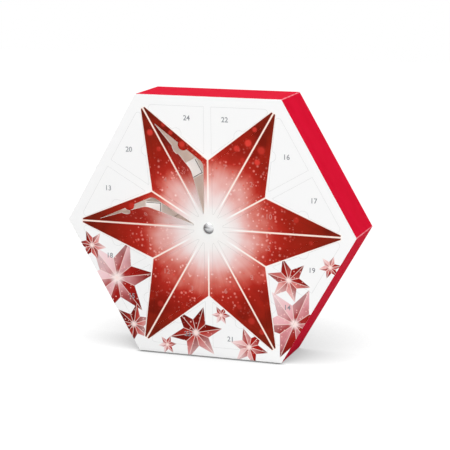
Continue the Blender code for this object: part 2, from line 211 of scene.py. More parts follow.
# Small printed stars, in millimetres from the hub: x, z, radius, radius of the glow, turn in
# degrees, direction of their tint in degrees, light colour, deep colour
SMALL_STARS = (
    (-118, -68, 50, 13, 10, 320, "#F1C6CA", "#A01C16"),
    (-150, -30, 19, 5, -6, 200, "#D9706A", "#8A1711"),
    (-97, -124, 26, 6, 21, 150, "#C4423A", "#74130D"),
    (-54, -146, 12, 3, 9, 20, "#F0C2C3", "#B5221C"),
    (50, -140, 24, 5, -12, 30, "#EDB7B6", "#A81A14"),
    (-17, -128, 34, 7, 13, 100, "#C23A31", "#7A140D"),
    (15, -104, 12, 3, 0, 60, "#F0C2C3", "#AC221C"),
    (106, -107, 46, 9, 7, 310, "#E9A6AC", "#9A1A14"),
    (99, -55, 27, 6, -14, 80, "#DE827C", "#9A1A14"),
    (149, -36, 14, 4, 12, 300, "#EBA5A2", "#A91E18"),
)
SMALL_LINE = 0.36 * MM
SMALL_BLUR_MM = 0.35
SMALL_TIP_RED = "#5E120C"
SMALL_DUST_PINK = "#F7C4BD"
SMALL_GLOW_WHITE = "#FFF6F4"
SMALL_FOLD_PINK = "#F9DDD6"


def small_star(tree, plane, under, dust, star):
    """Print one small star, with the dust of sparkles on it, over the colour under it."""
    x, z, radius, halo, turn, tint, light, deep = star
    centred = add(tree, "Mapping", {"Vector": plane, "Location": (x * MM, 0, z * MM),
                                    "Rotation": (0, radians(-turn), 0),
                                    "Scale": (radius * MM,) * 3}, vector_type="TEXTURE")
    shape = star_pattern(tree, centred)

    # Each facet has its own depth of colour, over a tint that deepens across the star
    heading = radians(tint)
    across = add(tree, "VectorMath", {0: centred, 1: (cos(heading), 0, sin(heading))}, out="Value",
                 operation="DOT_PRODUCT")
    fold = add(tree, "Math", {0: shape["Side"], 1: 0.30, 2: across}, operation="MULTIPLY_ADD")
    mist = add(tree, "TexNoise", {"Vector": centred, "Scale": 2.4, "Detail": 2.0})
    misted = add(tree, "Math", {0: mist, 1: 0.9, 2: fold}, operation="MULTIPLY_ADD")
    shade = add(tree, "MapRange", {0: misted, 1: -0.35, 2: 0.95}, interpolation_type="SMOOTHSTEP")
    tinted = add(tree, "Mix", {0: shade, 6: linear(light), 7: linear(deep)}, out=2,
                 data_type="RGBA")
    to_tip = add(tree, "MapRange", {0: shape["Radius"], 1: 0.40, 2: 1.0, 3: 0.0, 4: 0.85})
    darkness = add(tree, "Math", {0: to_tip, 1: shade}, operation="MULTIPLY")
    tipped = add(tree, "Mix", {0: darkness, 6: tinted, 7: linear(SMALL_TIP_RED)}, out=2,
                 data_type="RGBA")

    # Dust, the glow at its middle and the pale fold lines
    sprinkled = add(tree, "Mix", {0: dust, 6: tipped, 7: linear(SMALL_DUST_PINK)}, out=2,
                    data_type="RGBA")
    glow = add(tree, "MapRange", {0: shape["Radius"], 1: 0.0, 2: halo / radius, 3: 0.95, 4: 0.0},
               interpolation_type="SMOOTHERSTEP")
    lit = add(tree, "Mix", {0: glow, 6: sprinkled, 7: linear(SMALL_GLOW_WHITE)}, out=2,
              data_type="RGBA")
    line = SMALL_LINE / (radius * MM)
    nearest = add(tree, "Math", {0: shape["Ridge"], 1: shape["Valley"]}, operation="MINIMUM")
    drawn = add(tree, "MapRange", {0: nearest, 1: line * 0.5, 2: line * 1.6, 3: 0.72, 4: 0.0},
                interpolation_type="SMOOTHSTEP")
    lined = add(tree, "Mix", {0: drawn, 6: lit, 7: linear(SMALL_FOLD_PINK)}, out=2,
                data_type="RGBA")

    # The pale side of the star fades a little into the white board
    blur = SMALL_BLUR_MM / radius
    covers = add(tree, "MapRange", {0: shape["Inside"], 1: -blur, 2: blur},
                 interpolation_type="SMOOTHSTEP")
    fade = add(tree, "MapRange", {0: across, 1: -0.9, 2: -0.1, 3: 0.5, 4: 1.0})
    faded = add(tree, "Math", {0: covers, 1: fade}, operation="MULTIPLY")
    return add(tree, "Mix", {0: faded, 6: under, 7: lined}, out=2, data_type="RGBA")


# Large printed star
FOLD_LINE = 1.9 * MM
OUTLINE = 1.1 * MM
GLOW_CLOUD = 38 * MM
TONE_PATCH = 24 * MM
SPARKLE_DRIFT = 19 * MM
GLOW_TO_TIP = ((0.05, "#F6F6F4"), (0.14, "#F4F0EE"), (0.22, "#F0DCDA"), (0.31, "#E8B1AB"),
               (0.40, "#D6796D"), (0.45, "#C44E42"), (0.50, "#B32A1F"), (0.60, "#9F2013"),
               (0.78, "#891F0F"), (0.96, "#742010"))
SOFT_SPOT_RED = "#DF5348"
LIGHT_DISC_RED = "#E8443A"
OUTLINE_PINK = "#FBEFE9"
# Discs of light, in millimetres from the hub: x, z, radius, strength
LIGHT_DISCS = ((58, 120, 3.4, 0.60), (36, 97, 4.2, 0.65), (50, 104, 4.8, 0.75),
               (66, 96, 5.2, 0.40), (61, 82, 4.0, 0.70), (43, 84, 3.0, 0.25),
               (-72, 111, 4.4, 0.65), (-55, 121, 3.2, 0.40), (-61, 92, 3.4, 0.35),
               (-32, 99, 4.2, 0.50), (-46, 112, 3.2, 0.45), (-97, 22, 4.4, 0.30),
               (-74, 30, 3.2, 0.15), (108, 17, 3.8, 0.30), (126, -9, 3.0, 0.25),
               (53, -108, 4.8, 0.30), (66, -120, 4.0, 0.40), (-62, -96, 4.4, 0.25),
               (-50, -112, 3.4, 0.20), (38, -92, 3.4, 0.20))


def star_glow(tree, plane, shape):
    """The star's ground colour: a white hub that glows through red to dark red tips."""
    # The glow spreads unevenly, in soft clouds and faint rays
    clouds = add(tree, "TexNoise", {"Vector": plane, "Scale": 1 / GLOW_CLOUD, "Detail": 2.0})
    cloud_shift = add(tree, "MapRange", {0: clouds, 1: 0.3, 2: 0.7, 3: -0.06, 4: 0.06})
    ray_turn = add(tree, "Math", {0: shape["Angle"], 1: 9.0}, operation="MULTIPLY")
    ray_point = add(tree, "CombineXYZ", {0: ray_turn, 1: shape["Radius"]})
    rays = add(tree, "TexNoise", {"Vector": ray_point, "Scale": 1.4, "Detail": 2.0})
    ray_shift = add(tree, "MapRange", {0: rays, 1: 0.3, 2: 0.7, 3: -0.012, 4: 0.012})
    facet_shift = add(tree, "Math", {0: shape["Side"], 1: -0.012, 2: cloud_shift},
                      operation="MULTIPLY_ADD")
    shifts = add(tree, "Math", {0: ray_shift, 1: facet_shift}, operation="ADD")
    near_hub = add(tree, "MapRange", {0: shape["Radius"], 1: 0.08, 2: 0.30})
    eased = add(tree, "Math", {0: shifts, 1: near_hub}, operation="MULTIPLY")
    reach = add(tree, "Math", {0: shape["Radius"], 1: eased}, operation="ADD")
    ground = add(tree, "ValToRGB", {0: reach}, stops=GLOW_TO_TIP)

    # Towards the tips the red shifts here and there to a browner shade
    tones = add(tree, "TexNoise", {"Vector": plane, "Scale": 1 / TONE_PATCH, "Detail": 1.0})
    tone = add(tree, "ValToRGB", {0: tones}, stops=((0.36, "#DAD3D0"), (0.52, "#FFFFFF")))
    outside_glow = add(tree, "MapRange", {0: shape["Radius"], 1: 0.45, 2: 0.70})
    return add(tree, "Mix", {0: outside_glow, 6: ground, 7: tone}, out=2, data_type="RGBA",
               blend_type="MULTIPLY")


def star_sparkles(tree, plane, shape, under):
    """Clusters of pale sparkles where the glow turns red, and soft red spots beyond them."""
    past_glow = add(tree, "MapRange", {0: shape["Radius"], 1: 0.32, 2: 0.44},
                    interpolation_type="SMOOTHSTEP")
    before_tip = add(tree, "MapRange", {0: shape["Radius"], 1: 0.80, 2: 0.50},
                     interpolation_type="SMOOTHSTEP")
    soft_ring = add(tree, "Math", {0: past_glow, 1: before_tip}, operation="MULTIPLY")
    soft = scattered_dots(tree, plane, *SOFT_SPOTS)
    soft_spot = add(tree, "Math", {0: soft, 1: soft_ring}, operation="MULTIPLY")
    spotted = add(tree, "Mix", {0: soft_spot, 6: under, 7: linear(SOFT_SPOT_RED)}, out=2,
                  data_type="RGBA")

    near = add(tree, "MapRange", {0: shape["Radius"], 1: 0.21, 2: 0.33},
               interpolation_type="SMOOTHSTEP")
    far = add(tree, "MapRange", {0: shape["Radius"], 1: 0.72, 2: 0.48},
              interpolation_type="SMOOTHSTEP")
    ring = add(tree, "Math", {0: near, 1: far}, operation="MULTIPLY")
    drifts = add(tree, "TexNoise", {"Vector": plane, "Scale": 1 / SPARKLE_DRIFT, "Detail": 1.0})
    drift = add(tree, "MapRange", {0: drifts, 1: 0.38, 2: 0.50}, interpolation_type="SMOOTHSTEP")
    zone = add(tree, "Math", {0: ring, 1: drift}, operation="MULTIPLY")
    fine = scattered_dots(tree, plane, *FINE_SPARKLES)
    coarse = scattered_dots(tree, plane, *COARSE_SPARKLES)
    dust = add(tree, "Math", {0: fine, 1: coarse}, operation="MAXIMUM")
    sparkle = add(tree, "Math", {0: dust, 1: zone}, operation="MULTIPLY")
    dust_colour = add(tree, "ValToRGB", {0: shape["Radius"]},
                      stops=((0.32, "#FCE0DB"), (0.50, "#F2968B")))
    return add(tree, "Mix", {0: sparkle, 6: spotted, 7: dust_colour}, out=2, data_type="RGBA")


def star_light_discs(tree, plane, under):
    """Larger soft discs of light towards the tips, most of them in the upper half."""
    lit = under
    for x, z, radius, strength in LIGHT_DISCS:
        off = add(tree, "VectorMath", {0: plane, 1: (x * MM, 0, z * MM)}, operation="SUBTRACT")
        disc = add(tree, "MapRange", {0: plane_radius(tree, off), 1: radius * 0.5 * MM,
                                      2: radius * 1.15 * MM, 3: strength, 4: 0.0},
                   interpolation_type="SMOOTHSTEP")
        lit = add(tree, "Mix", {0: disc, 6: lit, 7: linear(LIGHT_DISC_RED)}, out=2,
                  data_type="RGBA")
    return lit


def star_fold_lines(tree, shape, under):
    """Pale lines along the ridges and valleys, which come out of the glow."""
    half_line = FOLD_LINE / 2 / TIP_RADIUS
    nearest = add(tree, "Math", {0: shape["Ridge"], 1: shape["Valley"]}, operation="MINIMUM")
    drawn = add(tree, "MapRange", {0: nearest, 1: half_line * 0.6, 2: half_line * 1.4, 3: 1.0,
                                   4: 0.0}, interpolation_type="SMOOTHSTEP")
    starts = add(tree, "MapRange", {0: shape["Radius"], 1: 0.12, 2: 0.24},
                 interpolation_type="SMOOTHSTEP")
    line = add(tree, "Math", {0: drawn, 1: starts}, operation="MULTIPLY")
    line_colour = add(tree, "ValToRGB", {0: shape["Radius"]},
                      stops=((0.20, "#FDFBFA"), (0.42, "#FCE6DA")))
    return add(tree, "Mix", {0: line, 6: under, 7: line_colour}, out=2, data_type="RGBA")


def big_star(tree, plane, under):
    """Print the large star over the colour under it, with a pale outline round it."""
    unit = add(tree, "VectorMath", {0: plane, 3: 1 / TIP_RADIUS}, operation="SCALE")
    shape = star_pattern(tree, unit)
    printed = star_glow(tree, plane, shape)
    printed = star_sparkles(tree, plane, shape, printed)
    printed = star_light_discs(tree, plane, printed)
    printed = star_fold_lines(tree, shape, printed)

    # The twelve facets end bluntly, just short of where their edges would meet
    from_end = add(tree, "Math", {0: BLUNT_RADIUS / TIP_RADIUS, 1: shape["Radius"]},
                   operation="SUBTRACT")
    inside = add(tree, "Math", {0: shape["Inside"], 1: from_end}, operation="MINIMUM")
    outline = OUTLINE / TIP_RADIUS
    covers = add(tree, "MapRange", {0: inside, 1: 0.0, 2: outline * 0.3},
                 interpolation_type="SMOOTHSTEP")
    bordered = add(tree, "MapRange", {0: inside, 1: -outline, 2: -outline * 0.7},
                   interpolation_type="SMOOTHSTEP")
    framed = add(tree, "Mix", {0: bordered, 6: under, 7: linear(OUTLINE_PINK)}, out=2,
                 data_type="RGBA")
    return add(tree, "Mix", {0: covers, 6: framed, 7: printed}, out=2, data_type="RGBA")


# Boards and finishes
BOARD_WHITE = "#F6F6F6"
CUT_EDGE_WHITE = "#F1EEE9"
# Grey multiplied into the print in the cut: dulled ink, and painted shade of the recess
CUT_DULLING_AND_SHADE = "#DADADA"
INKED_EDGE = 0.25 * MM
CUT_RECESS = 0.03 * MM
RED_MOTTLE = 22 * MM
WORN_FOLD = 0.4 * MM
WORN_CORNER = 0.5 * MM
FOLD_CRACK = 7 * MM
WORN_FOLD_PINK = "#F08C98"
ORANGE_PEEL = 2.5 * MM
ORANGE_PEEL_RELIEF = 0.1 * MM
INK_GRAIN = 0.5 * MM


def hinge_swing(day):
    """Hinge point, axis and rest angle of a door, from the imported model's joints."""
    joint = next(j for j in frame["joints"] if j["name"] == f"door_{day:02d}_hinge")
    return Vector(joint["pos_m"]), Vector(joint["axis"]), -radians(joint["range_deg"][0])


def printed_carton(name, swing=None):
    """Coated carton board, offset printed and varnished: a smooth face with a soft sheen,
    raw white cut edges and a greyer uncoated back. A door that stands open swings its print."""
    material, tree, shader = new_material(name, roughness=0.5, specular=0.08)
    here = add(tree, "TexCoord", out="Object")
    normal = add(tree, "TexCoord", out="Normal")
    if swing:
        centre, axis, turned = swing
        here = add(tree, "VectorRotate", {"Vector": here, "Center": centre, "Axis": axis,
                                          "Angle": -turned}, rotation_type="AXIS_ANGLE")
        normal = add(tree, "VectorRotate", {"Vector": normal, "Center": (0, 0, 0), "Axis": axis,
                                            "Angle": -turned}, rotation_type="AXIS_ANGLE")
    plane = add(tree, "VectorMath", {0: here, 1: (0, 0, HUB_HEIGHT)}, operation="SUBTRACT")
    colour = linear(BOARD_WHITE)
    dust = scattered_dots(tree, plane, *SMALL_STAR_DUST)
    for star in SMALL_STARS:
        colour = small_star(tree, plane, colour, dust, star)
    colour = big_star(tree, plane, colour)

    # The die drags the ink over the first tenths of a millimetre; the cut gets dulled ink and
    # painted shade
    depth = add(tree, "SeparateXYZ", {0: here}, out="Y")
    front = add(tree, "Math", {0: depth, 1: FRONT + INKED_EDGE}, operation="LESS_THAN")
    in_cut = add(tree, "Math", {0: depth, 1: FRONT + CUT_RECESS / 2}, operation="GREATER_THAN")
    colour = add(tree, "Mix", {0: in_cut, 6: colour, 7: linear(CUT_DULLING_AND_SHADE)}, out=2,
                 data_type="RGBA", blend_type="MULTIPLY")

    fibres = fibre_bump(tree, shader, here, strength=0.05)
    raw = add(tree, "ValToRGB", {0: fibres}, stops=((0.35, "#E6DFD8"), (0.65, "#F0EAE4")))
    facing = add(tree, "SeparateXYZ", {0: normal}, out="Y")
    back = add(tree, "Math", {0: facing, 1: 0.5}, operation="GREATER_THAN")
    unprinted = add(tree, "Mix", {0: back, 6: linear(CUT_EDGE_WHITE), 7: raw}, out=2,
                    data_type="RGBA")
    shown = add(tree, "Mix", {0: front, 6: unprinted, 7: colour}, out=2, data_type="RGBA")
    tree.links.new(shown, shader.inputs["Base Color"])
    return material


def red_tray_carton():
    """Coated carton printed solid red outside and varnished; bare board inside."""
    material, tree, shader = new_material("red_printed_carton", roughness=0.6, specular=0.012)
    here = add(tree, "TexCoord", out="Object")
    plane = add(tree, "VectorMath", {0: here, 1: (0, 0, HUB_HEIGHT)}, operation="SUBTRACT")
    # The print covers what lies on the outer skin: the walls' outer faces and the back
    widest = None
    for i in range(3):
        angle = (i + 0.5) * STEP
        across = add(tree, "VectorMath", {0: plane, 1: (cos(angle), 0, sin(angle))}, out="Value",
                     operation="DOT_PRODUCT")
        distance = add(tree, "Math", {0: across}, operation="ABSOLUTE")
        widest = distance if widest is None else add(tree, "Math", {0: widest, 1: distance},
                                                     operation="MAXIMUM")
    outside = add(tree, "Math", {0: widest, 1: APOTHEM - CARTON / 2}, operation="GREATER_THAN")
    depth = add(tree, "SeparateXYZ", {0: here}, out="Y")
    behind = add(tree, "Math", {0: depth, 1: BACK - CARTON / 2}, operation="GREATER_THAN")
    printed = add(tree, "Math", {0: outside, 1: behind}, operation="MAXIMUM")
    mottle = add(tree, "TexNoise", {"Vector": here, "Scale": 1 / RED_MOTTLE, "Detail": 3.0})
    red = add(tree, "ValToRGB", {0: mottle}, stops=((0.3, "#D1052B"), (0.7, "#D80A31")))

    # The score along each fold cracks the ink, which leaves a fine pale line, broken in places
    corner = add(tree, "Math", {0: plane_radius(tree, plane), 1: SIDE - WORN_CORNER},
                 operation="GREATER_THAN")
    near_back = add(tree, "Math", {0: depth, 1: BACK - WORN_FOLD}, operation="GREATER_THAN")
    near_wall = add(tree, "Math", {0: widest, 1: APOTHEM - WORN_FOLD}, operation="GREATER_THAN")
    back_fold = add(tree, "Math", {0: near_back, 1: near_wall}, operation="MULTIPLY")
    fold = add(tree, "Math", {0: corner, 1: back_fold}, operation="MAXIMUM")
    wear = add(tree, "TexNoise", {"Vector": here, "Scale": 1 / FOLD_CRACK, "Detail": 3.0})
    cracked = add(tree, "MapRange", {0: wear, 1: 0.35, 2: 0.6, 3: 0.45, 4: 1.0})
    pale = add(tree, "Math", {0: fold, 1: cracked}, operation="MULTIPLY")
    worn = add(tree, "Mix", {0: pale, 6: red, 7: linear(WORN_FOLD_PINK)}, out=2,
               data_type="RGBA")

    fibres = fibre_bump(tree, shader, here, strength=0.06)
    bare = add(tree, "ValToRGB", {0: fibres}, stops=((0.35, "#F3ECE8"), (0.65, "#FAF5F2")))
    shown = add(tree, "Mix", {0: printed, 6: bare, 7: worn}, out=2, data_type="RGBA")
    tree.links.new(shown, shader.inputs["Base Color"])
    return material


def grey_cell_board():
    """Uncoated recycled greyboard: dull, with short darker fibres pressed into it."""
    material, tree, shader = new_material("uncoated_greyboard", roughness=0.85, specular=0.2)
    here = add(tree, "TexCoord", out="Object")
    fibres = fibre_bump(tree, shader, here, fibre=GREYBOARD_FIBRE, strength=0.2)
    board = add(tree, "ValToRGB", {0: fibres},
                stops=((0.30, "#F1E9E5"), (0.5, "#F9F2EE"), (0.72, "#FCF7F4")))
    tree.links.new(board, shader.inputs["Base Color"])
    return material


def white_gift_carton():
    """Bleached white carton with a light varnish: clean white with a hint of fibre."""
    material, tree, shader = new_material("white_gift_carton", roughness=0.45, specular=0.4)
    here = add(tree, "TexCoord", out="Object")
    fibres = fibre_bump(tree, shader, here, strength=0.08)
    white = add(tree, "ValToRGB", {0: fibres}, stops=((0.3, "#F6F4F2"), (0.7, "#FDFCFB")))
    tree.links.new(white, shader.inputs["Base Color"])
    return material


def gap_beside_lid():
    """The gap where a tuck lid goes into its box: the same carton, with the shadow deep in the gap
    painted into its colour.
    """
    material, tree, shader = new_material("gift_carton_painted_gap_shadow", roughness=0.9, specular=0.1)
    here = add(tree, "TexCoord", out="Object")
    fibres = fibre_bump(tree, shader, here)
    shaded = add(tree, "ValToRGB", {0: fibres}, stops=((0.3, "#4A443E"), (0.7, "#5E564F")))
    tree.links.new(shaded, shader.inputs["Base Color"])
    return material


def silvered_stud():
    """Vacuum-metallised plastic: a bright mirror with a faint orange-peel from moulding."""
    material, tree, shader = new_material("metallised_plastic", roughness=0.22, metallic=1.0)
    here = add(tree, "TexCoord", out="Object")
    peel = add(tree, "TexNoise", {"Vector": here, "Scale": 1 / ORANGE_PEEL, "Detail": 1.0})
    silver = add(tree, "ValToRGB", {0: peel}, stops=((0.3, "#E6E7E8"), (0.7, "#F0F0F1")))
    tree.links.new(silver, shader.inputs["Base Color"])
    waves = add(tree, "Bump", {"Strength": 0.05, "Distance": ORANGE_PEEL_RELIEF, "Height": peel})
    tree.links.new(waves, shader.inputs["Normal"])
    return material


def printing_ink(name, colour):
    """Offset ink: a thin matt film, very slightly uneven, in a grain coarser than real."""
    material, tree, shader = new_material(name, roughness=0.6, specular=0.3)
    here = add(tree, "TexCoord", out="Object")
    grain = add(tree, "TexNoise", {"Vector": here, "Scale": 1 / INK_GRAIN})
    soft = add(tree, "MapRange", {0: grain, 3: 0.0, 4: 0.12})
    shown = add(tree, "Mix", {0: soft, 6: linear(colour), 7: linear("#FFFFFF")}, out=2,
                data_type="RGBA")
    tree.links.new(shown, shader.inputs["Base Color"])
    return material


def dress(node, material):
    """Give a CAD node its material."""
    for slot in frame["nodes"][node].material_slots:
        slot.material = material


def worn_by(node):
    """The material that a CAD node wears."""
    return frame["nodes"][node].material_slots[0].material


def dress_frame():
    """Dress every CAD node. A door that stands open has its own swung copy of the print."""
    printed = printed_carton("printed_coated_carton")
    dress("front_panel", printed)
    for day in DAYS:
        swing = hinge_swing(day)
        opened = degrees(swing[2]) > 1
        own = printed_carton(f"printed_coated_carton_{day:02d}", swing) if opened else printed
        dress(f"door_{day:02d}", own)
    dress("back_tray", red_tray_carton())
    greyboard = grey_cell_board()
    for i in (1, 2, 3):
        dress(f"ridge_board_{i}", greyboard)
        dress(f"valley_board_{i}", greyboard)
    dress("star_strip", greyboard)
    gift = white_gift_carton()
    for day in DAYS:
        dress(f"gift_box_{day:02d}", gift)
    silver = silvered_stud()
    for node in ("centre_stud", "stud_washer"):
        dress(node, silver)


def merged_copy(node):
    """A bmesh copy of a CAD node, with its loose triangles merged."""
    bm = bmesh.new()
    bm.from_mesh(frame["nodes"][node].data)
    bmesh.ops.remove_doubles(bm, verts=bm.verts, dist=MERGE_DISTANCE)
    return bm


def mesh_from(bm, name):
    """A mesh from a finished bmesh, which is freed."""
    mesh = bpy.data.meshes.new(name)
    bm.to_mesh(mesh)
    bm.free()
    return mesh


def link_piece(name, mesh, *materials):
    """An object at the origin for a mesh that already holds its place."""
    for material in materials:
        mesh.materials.append(material)
    piece = bpy.data.objects.new(name, mesh)
    bpy.context.scene.collection.objects.link(piece)
    return piece


# Nicked cut lines round the doors
CUT_WEB = 0.27 * MM
STUD_HOLE_REACH = 8 * MM
PANEL_EDGE_REACH = 1 * MM


def is_door_cut(face):
    """Whether a face of the panel is a wall of a door cut, not of the stud hole or the rim."""
    middle = face.calc_center_median() - Vector((0, 0, HUB_HEIGHT))
    middle.y = 0
    to_edge = max(abs(middle.dot(Vector((cos(angle), 0, sin(angle)))))
                  for angle in (STEP * 0.5, STEP * 1.5, STEP * 2.5))
    return (abs(face.normal.y) < 0.5 and middle.length > STUD_HOLE_REACH
            and to_edge < APOTHEM - PANEL_EDGE_REACH)


def make_cut_lines():
    """Fine web of nicks and crushed fibres in every door's die line, darkened by painted shade."""
    bm = merged_copy("front_panel")
    bm.normal_update()
    others = [face for face in bm.faces if not is_door_cut(face)]
    bmesh.ops.delete(bm, geom=others, context="FACES")
    bmesh.ops.solidify(bm, geom=bm.faces[:], thickness=-CUT_WEB)
    for vert in bm.verts:
        vert.co.y += CUT_RECESS if vert.co.y < FRONT + CARTON / 2 else -CUT_RECESS
    bmesh.ops.recalc_face_normals(bm, faces=bm.faces[:])
    cut_lines = link_piece("cut_lines", mesh_from(bm, "cut_lines"), worn_by("front_panel"))
    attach(cut_lines, "box")


# Tuck lids of the gift boxes
LID_MARGIN = 0.3 * MM
LID_GAP = 1.2 * MM
LID_RISE = 0.25 * MM
LID_SINK = 0.3 * MM
LEVEL_TOLERANCE = 0.01 * MM
# The gap's faces take a material with the shadow in the gap painted into it
LID_MATERIAL, GAP_SHADOW_MATERIAL = 0, 1


def tuck_lid(day):
    """One gift box's lid as a closed mesh: proud of the box, and sloping down into the gap."""
    bm = merged_copy(f"gift_box_{day:02d}")
    front = min(vert.co.y for vert in bm.verts)
    others = [face for face in bm.faces
              if face.calc_center_median().y > front + LEVEL_TOLERANCE]
    bmesh.ops.delete(bm, geom=others, context="FACES")
    bmesh.ops.dissolve_faces(bm, faces=bm.faces[:])
    rim = bmesh.ops.inset_individual(bm, faces=bm.faces[:], thickness=LID_MARGIN)["faces"]
    bmesh.ops.delete(bm, geom=rim, context="FACES")
    lid = bm.faces[:][0]
    gap = bmesh.ops.inset_individual(bm, faces=[lid], thickness=LID_GAP)["faces"]

    # The lid hangs on the side away from the hub, where there is no gap
    hub = Vector((0, front, HUB_HEIGHT))
    hinge = max(gap, key=lambda face: (face.calc_center_median() - hub).length)
    # Faces of the gap wear the painted shadow
    for face in gap:
        face.material_index = LID_MATERIAL if face == hinge else GAP_SHADOW_MATERIAL
    bmesh.ops.translate(bm, vec=(0, -LID_RISE, 0), verts=lid.verts)

    # Short walls and a back, sunk into the box, close the mesh
    edges = [edge for edge in bm.edges if edge.is_boundary]
    walls = bmesh.ops.extrude_edge_only(bm, edges=edges)["geom"]
    sunk = [item for item in walls if isinstance(item, bmesh.types.BMVert)]
    bmesh.ops.translate(bm, vec=(0, LID_SINK, 0), verts=sunk)
    bmesh.ops.contextual_create(bm, geom=[item for item in walls
                                          if isinstance(item, bmesh.types.BMEdge)])
    bmesh.ops.recalc_face_normals(bm, faces=bm.faces[:])
    return mesh_from(bm, "one_lid")


def make_gift_lids():
    """On the front of each gift box its tuck lid, a little proud, with a painted-shadow gap on
    three sides.
    """
    lids = bmesh.new()
    for day in DAYS:
        one = tuck_lid(day)
        lids.from_mesh(one)
        bpy.data.meshes.remove(one)
    gift_lids = link_piece("gift_lids", mesh_from(lids, "gift_lids"), worn_by("gift_box_01"),
                           gap_beside_lid())
    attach(gift_lids, "box")


# Printed numbers
FIGURE_HEIGHT = 6.2 * MM
FIGURE_SHARE_OF_FONT = 0.73
FIGURE_WEIGHT = 0.11 * MM
FIGURE_LIFT = 0.04 * MM
FIGURE_CURVE_STEPS = 4
OUTER_NUMBER_RADIUS = 133.5 * MM
OUTER_NUMBER_TURN = radians(12.0)
STAR_NUMBER_RADIUS = 77 * MM
STAR_NUMBER_TURN = radians(14.0)
# The middle of a star door is nearer the hub than this, and that of an outer door farther
STAR_DOOR_REACH = 0.62 * SIDE
# Where the printer set a number off the common place, in millimetres
NUMBER_SHIFT = {14: (-2.0, 1.3), 16: (-3.0, 0.3), 17: (2.0, -0.7), 21: (-1.0, -2.0),
                22: (-6.3, -1.0), 24: (2.0, -0.7)}


def closed_centre(day):
    """Middle of a door's face in its shut position, from the hub."""
    low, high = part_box(f"door_{day:02d}")
    point, axis, turned = hinge_swing(day)
    centre = (low + high) / 2
    shut = Matrix.Rotation(-turned, 3, axis) @ (centre - point) + point
    return shut - Vector((0, shut.y, HUB_HEIGHT))


def number_place(day):
    """Where a door's number is printed, from the hub, and whether the door is on the star."""
    centre = closed_centre(day)
    angle = atan2(centre.z, centre.x)
    on_star = centre.length < STAR_DOOR_REACH
    if on_star:
        line = round(angle / STEP) * STEP
        radius, turn = STAR_NUMBER_RADIUS, STAR_NUMBER_TURN
    else:
        line = (round(angle / STEP - 0.5) + 0.5) * STEP
        radius, turn = OUTER_NUMBER_RADIUS, OUTER_NUMBER_TURN
    heading = line + turn * (1 if angle > line else -1)
    right, up = NUMBER_SHIFT.get(day, (0, 0))
    place = Vector((radius * cos(heading) + right * MM, 0, radius * sin(heading) + up * MM))
    return place, on_star


def figures(day):
    """A number's figures as a flat mesh, centred on the origin."""
    curve = bpy.data.curves.new(f"number_{day:02d}", "FONT")
    curve.body = str(day)
    curve.size = FIGURE_HEIGHT / FIGURE_SHARE_OF_FONT
    curve.offset = FIGURE_WEIGHT
    curve.align_x = "CENTER"
    curve.align_y = "CENTER"
    curve.resolution_u = FIGURE_CURVE_STEPS
    writing = bpy.data.objects.new(f"number_{day:02d}_curve", curve)
    bpy.context.scene.collection.objects.link(writing)
    bpy.context.view_layer.update()
    mesh = bpy.data.meshes.new_from_object(writing)
    bpy.data.objects.remove(writing)
    mesh.materials.clear()
    return mesh


def print_numbers():
    """Print each door's number on it: grey on the white doors, pale red on the star."""
    grey = printing_ink("grey_printing_ink", "#7E8086")
    pale = printing_ink("pale_printing_ink", "#C66C62")
    upright = Matrix.Rotation(radians(90), 4, "X")
    for day in DAYS:
        place, on_star = number_place(day)
        spot = Matrix.Translation((place.x, FRONT - FIGURE_LIFT, place.z + HUB_HEIGHT))
        point, axis, turned = hinge_swing(day)
        swing = (Matrix.Translation(point) @ Matrix.Rotation(turned, 4, axis)
                 @ Matrix.Translation(-point))
        mesh = figures(day)
        mesh.transform(swing @ spot @ upright)
        number = link_piece(f"number_{day:02d}", mesh, pale if on_star else grey)
        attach(number, f"day_{day:02d}")


# Floor
FLOOR_HALF = 3.0
FLOOR_DROP = 1.0 * MM
SHADOW_REACH = 250 * MM
CONTACT_REACH = 7 * MM
CONTACT_SET_BACK = 1 * MM
SHADOW_SAMPLES = 16
FLOOR_SEEN = 1.06


